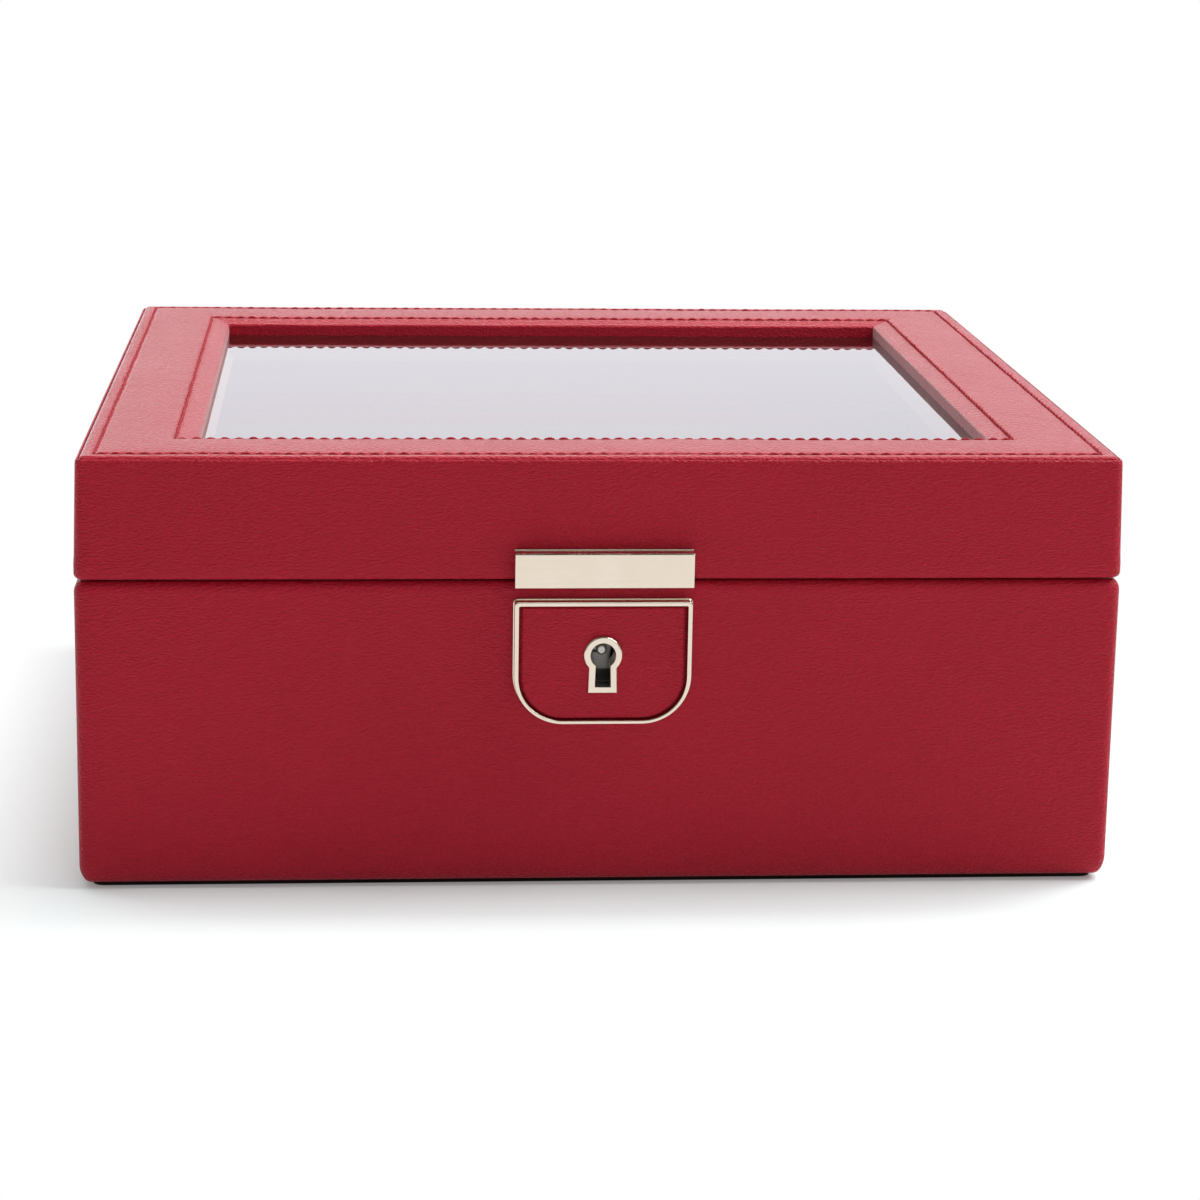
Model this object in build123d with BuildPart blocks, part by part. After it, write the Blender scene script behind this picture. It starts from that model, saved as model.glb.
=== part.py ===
from build123d import *
import math
import os

# Watch box with a hinged window lid, a lock and eight watch cushions that lift out.
# Millimetres. The origin is on the ground under the middle of the box, X runs to the right,
# Y runs to the back and Z runs up. The front of the box, with its lock, faces -Y.

os.makedirs("parts", exist_ok=True)

# Outside of the closed box, over the leather
width = 222.0
depth = 203.0
base_height = 66.4
lid_height = 26.2
corner_r = 2.5
bottom_r = 2.6

# Boards, leather and lining
leather_t = 1.2
wall_t = 9.0
floor_t = 5.0
board_bevel = 1.0
lining_t = 1.5
hem_w = 12.0
lap_h = 3.0
rim_bevel = 0.8
base_pad_t = 1.0
base_pad_inset = 2.6
seam_gap = 0.4

# Window in the lid
border_w = 25.0
panel_rise = 4.0
panel_groove = 0.3
band_drop = 0.6
band_edge = 0.4
lip_r = 2.6
panel_edge_r = 0.9
glass_t = 3.0
glass_bearing = 3.0
glass_gap = 0.2
ledge_t = 2.5
ceiling_overhang = 1.0

# Tray for the watches
columns = 4
divider_t = 3.0
divider_h = 37.0
divider_edge_r = 1.2
lap_gap = 0.1
cushion_h = 40.0
cushion_side_gap = 1.2
cushion_end_gap = 3.0
cushion_seat_gap = 0.3
cushion_round = 15.0
cushion_draw_in = 3.2
cushion_lift = 30.0

# Stop hinges, one near each end of the back
hinge_inset = 49.0
hinge_w = 32.0
leaf_t = 3.0
leaf_in = 7.6
knuckle_r = 2.0
knuckle_out = 1.6
knuckle_count = 3
knuckle_gap = 0.1
knuckle_swing_gap = 0.15
pin_r = 0.8
pin_gap = 0.05
pin_head_r = 1.1
pin_head_h = 0.4
stop_angle = 95.0
stop_slack = 0.5
hinge_screw_pitch = 18.0

# Screws
screw_gap = 0.05
rim_screw_size = {"head_r": 1.9, "head_h": 1.1, "shank_r": 0.9, "length": 9.0}
wall_screw_size = {"head_r": 2.2, "head_h": 1.2, "shank_r": 0.8, "length": 10.4}
head_sink = 0.1
point_l = 1.7
point_r = 0.25
screw_sides = 12
slot_w = 0.5
slot_deep = 0.45

# Lock face, leather inlay and keyhole
face_w = 37.7
face_h = 26.8
face_drop = 3.8
face_proud = 2.4
face_floor_t = 0.5
face_band_side = 1.4
face_band_top = 1.2
face_band_bottom = 1.0
face_lower_r = 10.5
face_upper_r = 0.8
face_edge = 0.3
face_lip_t = 0.3
face_lip = 0.2
inlay_gap = 0.1
inlay_t = 1.2
inlay_edge = 0.35
key_drop = 15.5
key_hole_r = 2.7
key_slot_top_w = 3.0
key_slot_bottom_w = 3.4
key_slot_reach = 6.9
escutcheon_rim = 1.4
escutcheon_proud = 0.8
escutcheon_edge = 0.25
escutcheon_tube_t = 0.6
boss_edge = 0.4
boss_drop = 9.4
boss_r = 1.5
boss_l = 4.0
boss_sides = 12
boss_case_gap = 0.6

# Lock case and bolt, let into the front wall from its rim
case_deep = 5.9
case_below_slot = 2.0
case_front_wood = 1.5
case_plate_t = 0.6
fit_gap = 0.05
cut_past = 1.0
rim_plate_end = 6.5
rim_plate_d = 7.0
rim_plate_screw_in = 3.1
drill_pin_r = 1.1
drill_pin_collar_r = 2.0
drill_pin_tip = 0.35
drill_pin_reach = 0.6
bolt_t = 1.4
bolt_throw = 3.5
bolt_guide_gap = 0.15
bolt_run_gap = 0.4
bolt_nose_h = 3.0
bolt_arm_w = 2.4
bolt_bar_h = 3.0
bolt_tail_drop = 4.9
bolt_tail_right = 2.1
bolt_bar_drop = 9.4
talon_w = 3.2
talon_lug_w = 1.2
talon_lug_h = 2.4
talon_lug_t = 1.2
spring_t = 0.4
spring_w = 3.0
spring_span = 9.0
spring_rise = 2.6

# Catch on the lid that drops into the lock, and the bar that covers it
staple_x = 6.0
staple_t = 1.6
staple_d = 3.4
staple_l = 9.2
staple_foot = 1.0
staple_foot_r = 0.5
tenon_d = 2.4
eye_d = 2.0
eye_h = 3.6
staple_gap_x = 0.4
staple_gap_y = 0.6
catch_w = 28.0
catch_screw_x = 11.0
bar_w = 37.7
bar_h = 7.4
bar_t = 3.6
bar_overlap = 0.9
bar_relief = 0.4
bar_relief_h = 1.4
bar_bevel = 0.25
bar_lip_t = 0.3
bar_lip_h = 0.2
bar_screw_x = 16.0
bar_screw_up = 4.2

# Heights and inner sizes that follow
z_base = base_pad_t
z_rim = z_base + base_height
z_lid = z_rim + seam_gap
z_top = z_lid + lid_height
z_board = z_base + leather_t
z_floor = z_board + floor_t
z_tray = z_floor + lining_t
z_glass_top = z_top - panel_rise
z_ledge = z_glass_top - glass_t - ledge_t
z_ceiling = z_ledge - lining_t
board_w = width - 2 * leather_t
board_d = depth - 2 * leather_t
inner_w = board_w - 2 * wall_t
inner_d = board_d - 2 * wall_t
tray_w = inner_w - 2 * lining_t
tray_d = inner_d - 2 * lining_t
window_w = width - 2 * border_w
window_d = depth - 2 * border_w
cell_w = (tray_w - (columns - 1) * divider_t) / columns
cell_d = (tray_d - divider_t) / 2
hinge_x = width / 2 - hinge_inset
hinge_y = depth / 2 + knuckle_out
hinge_z = z_rim + seam_gap / 2
z_key = z_rim - key_drop
z_face_top = z_rim - face_drop
z_face_mid = z_face_top - face_h / 2
lock_y = -board_d / 2 + case_front_wood + fit_gap + case_deep / 2
case_front_y = lock_y - case_deep / 2
case_back_y = lock_y + case_deep / 2
z_case_top = z_rim - leather_t
boss_x = face_w / 2 - boss_edge - boss_r
case_w = 2 * (boss_x - boss_r - boss_case_gap)
case_h = key_drop + key_slot_reach + case_below_slot - leather_t
z_case = z_case_top - case_h
rim_plate_w = case_w + 2 * rim_plate_end
rim_plate_screw_x = rim_plate_w / 2 - rim_plate_screw_in

pieces = {}


def keep(name, part):
    """Labels one finished piece and puts it on the list to be written."""
    part.label = name
    pieces[name] = part


# Screws: a countersunk head, a plain shank and a short point


def screw_body(size, gap=0.0):
    """A screw whose head lies just below z = 0, or the room for it where a gap is given."""
    head_r = size["head_r"] + gap
    shank_r = size["shank_r"] + gap
    neck = -head_sink - size["head_h"]
    tip = -head_sink - size["length"] - gap
    with BuildPart() as body:
        with BuildSketch(Plane.XY.offset(-head_sink)):
            RegularPolygon(head_r, screw_sides)
        with BuildSketch(Plane.XY.offset(neck)):
            RegularPolygon(shank_r, screw_sides)
        loft()
        with BuildSketch(Plane.XY.offset(neck)):
            RegularPolygon(shank_r, screw_sides)
        extrude(amount=tip + point_l - neck)
        with BuildSketch(Plane.XY.offset(tip + point_l)):
            RegularPolygon(shank_r, screw_sides)
        with BuildSketch(Plane.XY.offset(tip)):
            RegularPolygon(point_r, screw_sides)
        loft()
        if gap == 0:
            with Locations((0, 0, -head_sink)):
                Box(3 * head_r, slot_w, 2 * slot_deep, mode=Mode.SUBTRACT)
        else:
            with BuildSketch(Plane.XY.offset(-head_sink)):
                RegularPolygon(head_r, screw_sides)
            extrude(amount=2 * head_sink)
    return body.part


def screws_at(screw, places):
    """A set of like screws, one at each place."""
    with BuildPart() as screws:
        with Locations(*places):
            add(screw)
    return screws.part


def cut_screw_room(room, places):
    """Cuts the room for like screws out of the piece being made, one at each place."""
    with Locations(*places):
        add(room, mode=Mode.SUBTRACT)


rim_screw = screw_body(rim_screw_size)
rim_screw_room = screw_body(rim_screw_size, screw_gap)
wall_screw = screw_body(wall_screw_size)
wall_screw_room = screw_body(wall_screw_size, screw_gap)


def downward(x, y, z):
    """A place for a screw that is driven straight down."""
    return Location((x, y, z))


def upward(x, y, z):
    """A place for a screw that is driven straight up."""
    return Location((x, y, z), (180, 0, 0))


def forward(x, y, z):
    """A place for a screw that is driven from inside the box to its front."""
    return Location((x, y, z), (-90, 0, 0))


def hinge_screw_places(make_place, z):
    """Where the screws of both hinges go in the back rim at height z."""
    y = depth / 2 - leaf_in / 2 - leather_t / 2
    spots = []
    for side in (-1, 1):
        for step in (-0.5, 0.5):
            spots.append(make_place(side * hinge_x + step * hinge_screw_pitch, y, z))
    return spots


base_hinge_screws = hinge_screw_places(downward, z_rim)
lid_hinge_screws = hinge_screw_places(upward, z_lid)
case_screws = [downward(side * rim_plate_screw_x, lock_y, z_rim) for side in (-1, 1)]
catch_screws = [upward(side * catch_screw_x, lock_y, z_lid) for side in (-1, 1)]
wall_inner_y = -inner_d / 2
face_screws = [forward(side * boss_x, wall_inner_y, z_rim - boss_drop) for side in (-1, 1)]
bar_screws = [forward(side * bar_screw_x, wall_inner_y, z_lid + bar_screw_up) for side in (-1, 1)]


# Rounded blocks and rings that the boards, leathers and linings are cut from


def block(size_x, size_y, radius, z_low, z_high, mode=Mode.ADD):
    """An upright block with rounded corners between two heights."""
    with BuildSketch(Plane.XY.offset(z_low)) as outline:
        if radius > 0:
            RectangleRounded(size_x, size_y, radius)
        else:
            Rectangle(size_x, size_y)
    extrude(outline.sketch, amount=z_high - z_low, mode=mode)


def hinge_room(z_low, z_high):
    """Cuts both hinge recesses through the back face between two heights."""
    y_low = depth / 2 - leaf_in - lap_gap
    y_high = depth / 2 + cut_past
    for side in (-1, 1):
        with Locations((side * hinge_x, (y_low + y_high) / 2, (z_low + z_high) / 2)):
            Box(hinge_w + 2 * lap_gap, y_high - y_low, z_high - z_low, mode=Mode.SUBTRACT)


def keyhole_outline(grow):
    """A round hole over a slot that widens downwards, grown outwards by an even rim."""
    Circle(key_hole_r + grow)
    top = key_slot_top_w / 2 + grow
    bottom = key_slot_bottom_w / 2 + grow
    reach = -key_slot_reach - grow
    Polygon((-top, 0), (top, 0), (bottom, reach), (-bottom, reach), align=None)


def keyhole_room(grow, y_low, y_high):
    """Cuts the keyhole through the piece being made, between two depths."""
    with BuildSketch(Plane((0, y_high, z_key), x_dir=(1, 0, 0), z_dir=(0, -1, 0))) as hole:
        keyhole_outline(grow)
    extrude(hole.sketch, amount=y_high - y_low, mode=Mode.SUBTRACT)


def boss_room(deep):
    """Cuts the holes for the lock face's two bosses into the front, to a depth under the leather."""
    for side in (-1, 1):
        with BuildSketch(Plane((side * boss_x, deep - board_d / 2, z_rim - boss_drop),
                               x_dir=(1, 0, 0), z_dir=(0, -1, 0))) as hole:
            RegularPolygon(boss_r + fit_gap, boss_sides)
        extrude(hole.sketch, amount=deep + leather_t + cut_past, mode=Mode.SUBTRACT)


# Base: fibreboard case, hollow, with a rebate underneath for the turned leather

with BuildPart() as base_carcass:
    block(board_w, board_d, corner_r - leather_t, z_board, z_case_top)
    chamfer(base_carcass.edges().group_by(Axis.Z)[0], board_bevel)
    block(board_w - 2 * hem_w, board_d - 2 * hem_w, 0, z_base, z_board)
    block(inner_w, inner_d, 0, z_floor, z_case_top, mode=Mode.SUBTRACT)
    hinge_room(z_rim - leaf_t - lap_gap, z_rim)
    with Locations((0, lock_y, (z_case - fit_gap + z_case_top) / 2)):
        Box(case_w + 2 * fit_gap, case_deep + 2 * fit_gap, case_h + fit_gap, mode=Mode.SUBTRACT)
    keyhole_room(escutcheon_tube_t + fit_gap, -depth / 2, case_front_y)
    boss_room(boss_l - leather_t + fit_gap)
    cut_screw_room(rim_screw_room, base_hinge_screws + case_screws)
    cut_screw_room(wall_screw_room, face_screws)
keep("base_carcass", base_carcass.part)


# Base leather: one skin over the four walls, turned over the rim and under the floor

with BuildPart() as base_core:
    block(board_w, board_d, corner_r - leather_t, z_board, z_case_top)
    chamfer(base_core.edges().group_by(Axis.Z)[0], board_bevel)

with BuildPart() as base_leather:
    block(width, depth, corner_r, z_base, z_rim)
    fillet(base_leather.edges().group_by(Axis.Z)[0], bottom_r)
    add(base_core.part, mode=Mode.SUBTRACT)
    block(board_w - 2 * hem_w, board_d - 2 * hem_w, 0, z_base, z_board, mode=Mode.SUBTRACT)
    block(inner_w, inner_d, 0, z_case_top, z_rim, mode=Mode.SUBTRACT)
    block(inner_w, inner_d, 0, z_case_top - lap_h, z_rim)
    block(inner_w - 2 * leather_t, inner_d - 2 * leather_t, 0, z_case_top - lap_h, z_rim,
          mode=Mode.SUBTRACT)
    chamfer(base_leather.edges().group_by(Axis.Z)[-1], rim_bevel)
    hinge_room(z_rim - leaf_t - lap_gap, z_rim)
    with Locations((0, lock_y, z_rim)):
        Box(rim_plate_w + 2 * fit_gap, rim_plate_d + 2 * fit_gap, 2 * leather_t, mode=Mode.SUBTRACT)
    keyhole_room(escutcheon_tube_t + fit_gap, -depth / 2, -board_d / 2)
    boss_room(leather_t)
keep("base_leather", base_leather.part)


# Base pad: black suede sheet glued under the box, a little smaller than it

with BuildPart() as base_pad:
    block(width - 2 * base_pad_inset, depth - 2 * base_pad_inset, corner_r, 0, base_pad_t)
keep("base_pad", base_pad.part)


# Tray linings: suede over thin card, one on the floor and one on each wall


def wall_lining(name, size_x, size_y, x, y, z_low, z_high):
    """One flat lining panel standing against a wall."""
    with BuildPart() as lining:
        with Locations((x, y, (z_low + z_high) / 2)):
            Box(size_x, size_y, z_high - z_low)
    keep(name, lining.part)


def wall_linings(prefix, z_low, z_high):
    """Four lining panels round the walls; the front and back ones run between the side ones."""
    side_x = (inner_w - lining_t) / 2
    end_y = (inner_d - lining_t) / 2
    wall_lining(prefix + "_left", lining_t, inner_d, -side_x, 0, z_low, z_high)
    wall_lining(prefix + "_right", lining_t, inner_d, side_x, 0, z_low, z_high)
    wall_lining(prefix + "_front", tray_w, lining_t, 0, -end_y, z_low, z_high)
    wall_lining(prefix + "_back", tray_w, lining_t, 0, end_y, z_low, z_high)


with BuildPart() as floor_lining:
    block(inner_w, inner_d, 0, z_floor, z_tray)
keep("floor_lining", floor_lining.part)
wall_linings("base_lining", z_tray, z_case_top - lap_h)


# Dividers: suede over card, halved into each other like an egg crate

cross_x = [(cell_w + divider_t) * (i + 1 - columns / 2) for i in range(columns - 1)]

with BuildPart() as long_divider:
    with Locations((0, 0, z_tray + divider_h / 2)):
        Box(tray_w, divider_t, divider_h)
    top_edges = long_divider.edges().filter_by(Axis.X).group_by(Axis.Z)[-1]
    fillet(top_edges, divider_edge_r)
    for x in cross_x:
        with Locations((x, 0, z_tray + divider_h * 0.75)):
            Box(divider_t + 2 * lap_gap, divider_t, divider_h / 2, mode=Mode.SUBTRACT)
keep("long_divider", long_divider.part)

for number, x in enumerate(cross_x, start=1):
    with BuildPart() as cross_divider:
        with Locations((x, 0, z_tray + divider_h / 2)):
            Box(divider_t, tray_d, divider_h)
        top_edges = cross_divider.edges().filter_by(Axis.Y).group_by(Axis.Z)[-1]
        fillet(top_edges, divider_edge_r)
        with Locations((x, 0, z_tray + divider_h / 4)):
            Box(divider_t, divider_t + 2 * lap_gap, divider_h / 2, mode=Mode.SUBTRACT)
    keep(f"cross_divider_{number}", cross_divider.part)


# Watch cushions: firm rolls that a strap closes round, with drawn-in ends

cushion_w = cell_w - 2 * cushion_side_gap
cushion_d = cell_d - 2 * cushion_end_gap
# Where the outline stands between the middle and an end, and its share of the full draw-in
cushion_half = ((0.0, 0.0), (0.78, 0.22), (1.0, 1.0))
cushion_stations = [(-share, drawn) for share, drawn in reversed(cushion_half[1:])]
cushion_stations += cushion_half


def watch_cushion(x, y):
    """One cushion in the middle of its cell; its outline shrinks towards both ends."""
    z_middle = z_tray + cushion_seat_gap + cushion_h / 2
    with BuildPart() as cushion:
        for share, drawn in cushion_stations:
            inset = cushion_draw_in * drawn
            with BuildSketch(Plane((x + share * cushion_w / 2, y, z_middle),
                                   x_dir=(0, 1, 0), z_dir=(1, 0, 0))):
                RectangleRounded(cushion_d - 2 * inset, cushion_h - 2 * inset, cushion_round)
        loft(ruled=True)
    return cushion.part


number = 0
for row in (-1, 1):
    for column in range(columns):
        number += 1
        x = (cell_w + divider_t) * (column - (columns - 1) / 2)
        y = row * (cell_d + divider_t) / 2
        keep(f"watch_cushion_{number}", watch_cushion(x, y))


# Lock case: pan with a rim plate that takes the staples, closed in front by the cap

slot_x = staple_t + 2 * staple_gap_x
slot_y = staple_d + 2 * staple_gap_y

with BuildPart() as lock_case:
    with Locations((0, (case_front_y + case_plate_t + case_back_y) / 2, (z_case + z_case_top) / 2)):
        Box(case_w, case_deep - case_plate_t, case_h)
    with Locations((0, lock_y, z_rim - leather_t / 2)):
        Box(rim_plate_w, rim_plate_d, leather_t)
    with Locations((0, lock_y - case_plate_t, (z_case + case_plate_t + z_case_top) / 2)):
        Box(case_w - 2 * case_plate_t, case_deep, case_h - case_plate_t, mode=Mode.SUBTRACT)
    for side in (-1, 1):
        with Locations((side * staple_x, lock_y, z_rim)):
            Box(slot_x, slot_y, 2 * (leather_t + cut_past), mode=Mode.SUBTRACT)
    cut_screw_room(rim_screw_room, case_screws)
keep("lock_case", lock_case.part)

with BuildPart() as lock_cap:
    with Locations((0, case_front_y + case_plate_t / 2, (z_case + z_case_top) / 2)):
        Box(case_w, case_plate_t, case_h)
    keyhole_room(0, -depth / 2, lock_y)
keep("lock_cap", lock_cap.part)

with BuildPart() as drill_pin:
    pin_base_y = case_back_y - case_plate_t
    collar_l = pin_base_y - lock_y - bolt_t / 2 - bolt_guide_gap
    pin_l = pin_base_y - case_front_y + drill_pin_reach
    with BuildSketch(Plane((0, pin_base_y, z_key), x_dir=(1, 0, 0), z_dir=(0, -1, 0))) as shaft:
        Circle(drill_pin_r)
    extrude(shaft.sketch, amount=pin_l)
    chamfer(drill_pin.edges().group_by(Axis.Y)[0], drill_pin_tip)
    with BuildSketch(Plane((0, pin_base_y, z_key), x_dir=(1, 0, 0), z_dir=(0, -1, 0))) as collar:
        Circle(drill_pin_collar_r)
    extrude(collar.sketch, amount=collar_l)
keep("drill_pin", drill_pin.part)


# Lock bolt: a plate that slides on the drill pin, with two noses for the staples

nose_z = z_lid - staple_l + staple_foot + eye_h / 2
nose_tips = [side * staple_x - staple_t / 2 - bolt_run_gap for side in (-1, 1)]
tail_left = nose_tips[0] - bolt_throw - bolt_arm_w
z_tail = z_key - bolt_tail_drop
z_bar_top = z_rim - bolt_bar_drop


def lock_plane(y):
    """An upright plane facing the front at depth y, with the keyhole's centre at its origin."""
    return Plane((0, y, z_key), x_dir=(1, 0, 0), z_dir=(0, -1, 0))


def bar_between(x_low, x_high, z_low, z_high):
    """A rectangle between two places across and two heights, on a lock plane."""
    with Locations(((x_low + x_high) / 2, (z_low + z_high) / 2 - z_key)):
        Rectangle(x_high - x_low, z_high - z_low)


with BuildPart() as lock_bolt:
    with BuildSketch(lock_plane(lock_y + bolt_t / 2)):
        bar_between(tail_left, bolt_tail_right, z_tail, z_bar_top)
        for tip in nose_tips:
            arm = tip - bolt_throw
            bar_between(arm - bolt_arm_w, arm, z_bar_top, nose_z + bolt_nose_h / 2)
            bar_between(arm, tip, nose_z - bolt_nose_h / 2, nose_z + bolt_nose_h / 2)
        with Locations((-bolt_throw / 2, 0)):
            SlotCenterToCenter(bolt_throw, 2 * (drill_pin_r + bolt_guide_gap), mode=Mode.SUBTRACT)
    extrude(amount=bolt_t)
    with BuildSketch(lock_plane(lock_y - bolt_t / 2)):
        for side in (-1, 1):
            middle = -bolt_throw / 2 + side * (talon_w + talon_lug_w) / 2
            bar_between(middle - talon_lug_w / 2, middle + talon_lug_w / 2,
                        z_bar_top - talon_lug_h, z_bar_top)
    extrude(amount=talon_lug_t)
keep("lock_bolt", lock_bolt.part)

with BuildPart() as bolt_spring:
    spring_left = tail_left + bolt_throw
    z_spring = z_case + case_plate_t + spring_t / 2
    crown = z_tail - bolt_guide_gap - spring_t / 2
    with BuildSketch(lock_plane(lock_y + spring_w / 2)):
        with BuildLine(mode=Mode.PRIVATE) as bow:
            ThreePointArc((spring_left, z_spring - z_key),
                          (spring_left + spring_span / 2, crown - z_key),
                          (spring_left + spring_span, z_spring - z_key))
        SlotArc(bow.line.edge(), spring_t)
    extrude(amount=spring_w)
keep("bolt_spring", bolt_spring.part)


# Lock face: gilt casting with a raised border, a leather inlay and the keyhole rim


def shield_outline(inset_side, inset_top, inset_bottom):
    """The face's outline, square above and rounded below, drawn in by three insets."""
    wide = face_w - 2 * inset_side
    high = face_h - inset_top - inset_bottom
    lower_r = face_lower_r - inset_side
    upper_r = face_upper_r
    with BuildSketch() as shield:
        with Locations((0, z_face_mid - z_key + (inset_bottom - inset_top) / 2)):
            Rectangle(wide, high)
        fillet(shield.vertices().group_by(Axis.Y)[0], lower_r)
        fillet(shield.vertices().group_by(Axis.Y)[-1], upper_r)
    return shield.sketch


with BuildPart() as lock_face:
    front = -depth / 2
    extrude(lock_plane(front) * shield_outline(0, 0, 0), amount=face_proud)
    chamfer(lock_face.edges().group_by(Axis.Y)[0], face_edge)
    extrude(lock_plane(front) * shield_outline(-face_lip, -face_lip, -face_lip), amount=face_lip_t)
    recess = shield_outline(face_band_side, face_band_top, face_band_bottom)
    extrude(lock_plane(front - face_floor_t) * recess, amount=face_proud, mode=Mode.SUBTRACT)
    for side in (-1, 1):
        with BuildSketch(lock_plane(front + boss_l)) as boss:
            with Locations((side * boss_x, key_drop - boss_drop)):
                RegularPolygon(boss_r, boss_sides)
        extrude(boss.sketch, amount=boss_l)
    keyhole_room(escutcheon_tube_t + fit_gap, front - face_proud, front)
    cut_screw_room(wall_screw_room, face_screws)
keep("lock_face", lock_face.part)

with BuildPart() as lock_inlay:
    inset = (face_band_side + inlay_gap, face_band_top + inlay_gap, face_band_bottom + inlay_gap)
    extrude(lock_plane(-depth / 2 - face_floor_t) * shield_outline(*inset), amount=inlay_t)
    chamfer(lock_inlay.edges().group_by(Axis.Y)[0], inlay_edge)
    keyhole_room(escutcheon_tube_t + fit_gap, -depth, -depth / 2)
keep("lock_inlay", lock_inlay.part)

with BuildPart() as keyhole_escutcheon:
    inlay_front = -depth / 2 - face_floor_t - inlay_t
    with BuildSketch(lock_plane(inlay_front)) as flange:
        keyhole_outline(escutcheon_rim)
    extrude(flange.sketch, amount=escutcheon_proud)
    chamfer(keyhole_escutcheon.edges().group_by(Axis.Y)[0], escutcheon_edge)
    with BuildSketch(lock_plane(case_front_y - fit_gap)) as tube:
        keyhole_outline(escutcheon_tube_t)
    extrude(tube.sketch, amount=case_front_y - fit_gap - inlay_front)
    keyhole_room(0, -depth, case_front_y)
keep("keyhole_escutcheon", keyhole_escutcheon.part)

keep("lock_case_screws", screws_at(rim_screw, case_screws))
keep("lock_face_screws", screws_at(wall_screw, face_screws))


# Stop hinges: thick leaves let into both rims, whose bevelled heels meet when the lid is open

knuckle_l = hinge_w / knuckle_count


def hinge_leaf(side, is_lid):
    """One leaf with its knuckles. The lid's leaf is the base's turned over, with the other knuckles."""
    turn = 1 if is_lid else -1
    centre = side * hinge_x
    start = centre - hinge_w / 2
    half_angle = math.radians((stop_angle + stop_slack) / 2)
    inner = -(knuckle_out + leaf_in)
    near = seam_gap / 2
    far = near + leaf_t
    with BuildPart() as leaf:
        with BuildSketch(Plane((start, hinge_y, hinge_z), x_dir=(0, 1, 0), z_dir=(1, 0, 0))):
            Polygon(
                (inner, turn * near),
                (near / math.tan(half_angle), turn * near),
                (knuckle_r, turn * knuckle_r * math.tan(half_angle)),
                (knuckle_r, turn * far),
                (inner, turn * far),
                align=None,
            )
        extrude(amount=hinge_w)
        for index in range(knuckle_count):
            own = (index % 2 == 1) == is_lid
            x_low = start + index * knuckle_l
            radius = knuckle_r if own else knuckle_r + knuckle_swing_gap
            length = knuckle_l - knuckle_gap if own else knuckle_l + knuckle_gap
            place = Location((x_low + knuckle_l / 2, hinge_y, hinge_z), (0, 90, 0))
            with Locations(place):
                if own:
                    Cylinder(radius, length)
                else:
                    Cylinder(radius, length, mode=Mode.SUBTRACT)
        with Locations(Location((centre, hinge_y, hinge_z), (0, 90, 0))):
            Cylinder(pin_r + pin_gap, hinge_w + cut_past, mode=Mode.SUBTRACT)
        cut_screw_room(rim_screw_room, lid_hinge_screws if is_lid else base_hinge_screws)
    return leaf.part


def hinge_pin(side):
    """The pin of one hinge, with a small button head at each end."""
    with BuildPart() as pin:
        with Locations(Location((side * hinge_x, hinge_y, hinge_z), (0, 90, 0))):
            Cylinder(pin_r, hinge_w)
        for end in (-1, 1):
            x = side * hinge_x + end * (hinge_w + pin_head_h) / 2
            with Locations(Location((x, hinge_y, hinge_z), (0, 90, 0))):
                Cylinder(pin_head_r, pin_head_h)
    return pin.part


for side, word in ((-1, "left"), (1, "right")):
    keep(f"hinge_base_leaf_{word}", hinge_leaf(side, False))
    keep(f"hinge_lid_leaf_{word}", hinge_leaf(side, True))
    keep(f"hinge_pin_{word}", hinge_pin(side))
keep("hinge_base_screws", screws_at(rim_screw, base_hinge_screws))
keep("hinge_lid_screws", screws_at(rim_screw, lid_hinge_screws))


# Lid: fibreboard walls with a rail round the window and a rebate for the glass

with BuildPart() as lid_carcass:
    z_lid_board = z_lid + leather_t
    block(board_w, board_d, corner_r - leather_t, z_lid_board, z_glass_top)
    block(inner_w, inner_d, 0, z_lid_board, z_ledge, mode=Mode.SUBTRACT)
    block(window_w, window_d, 0, z_ledge, z_glass_top, mode=Mode.SUBTRACT)
    rebate = 2 * (glass_bearing + glass_gap)
    block(window_w + rebate, window_d + rebate, 0, z_glass_top - glass_t, z_glass_top,
          mode=Mode.SUBTRACT)
    hinge_room(z_lid, z_lid + leaf_t + lap_gap)
    cut_screw_room(rim_screw_room, lid_hinge_screws + catch_screws)
    cut_screw_room(wall_screw_room, bar_screws)
keep("lid_carcass", lid_carcass.part)

with BuildPart() as lid_leather:
    z_band_top = z_top - band_drop
    block(width, depth, corner_r, z_lid, z_band_top)
    chamfer(lid_leather.edges().group_by(Axis.Z)[-1], band_edge)
    block(board_w, board_d, corner_r - leather_t, z_lid_board, z_band_top, mode=Mode.SUBTRACT)
    block(inner_w, inner_d, 0, z_lid, z_lid_board + lap_h)
    block(inner_w - 2 * leather_t, inner_d - 2 * leather_t, 0, z_lid, z_lid_board + lap_h,
          mode=Mode.SUBTRACT)
    chamfer(lid_leather.edges().group_by(Axis.Z)[0], rim_bevel)
    hinge_room(z_lid, z_lid + leaf_t + lap_gap)
    with Locations((0, lock_y, z_lid)):
        Box(catch_w + 2 * fit_gap, rim_plate_d + 2 * fit_gap, 2 * leather_t, mode=Mode.SUBTRACT)
    cut_screw_room(wall_screw_room, bar_screws)
keep("lid_leather", lid_leather.part)


# Window border: a board in padded leather that rolls down to the glass

panel_w = board_w - 2 * panel_groove
panel_d = board_d - 2 * panel_groove
z_panel_board = z_top - leather_t

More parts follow.
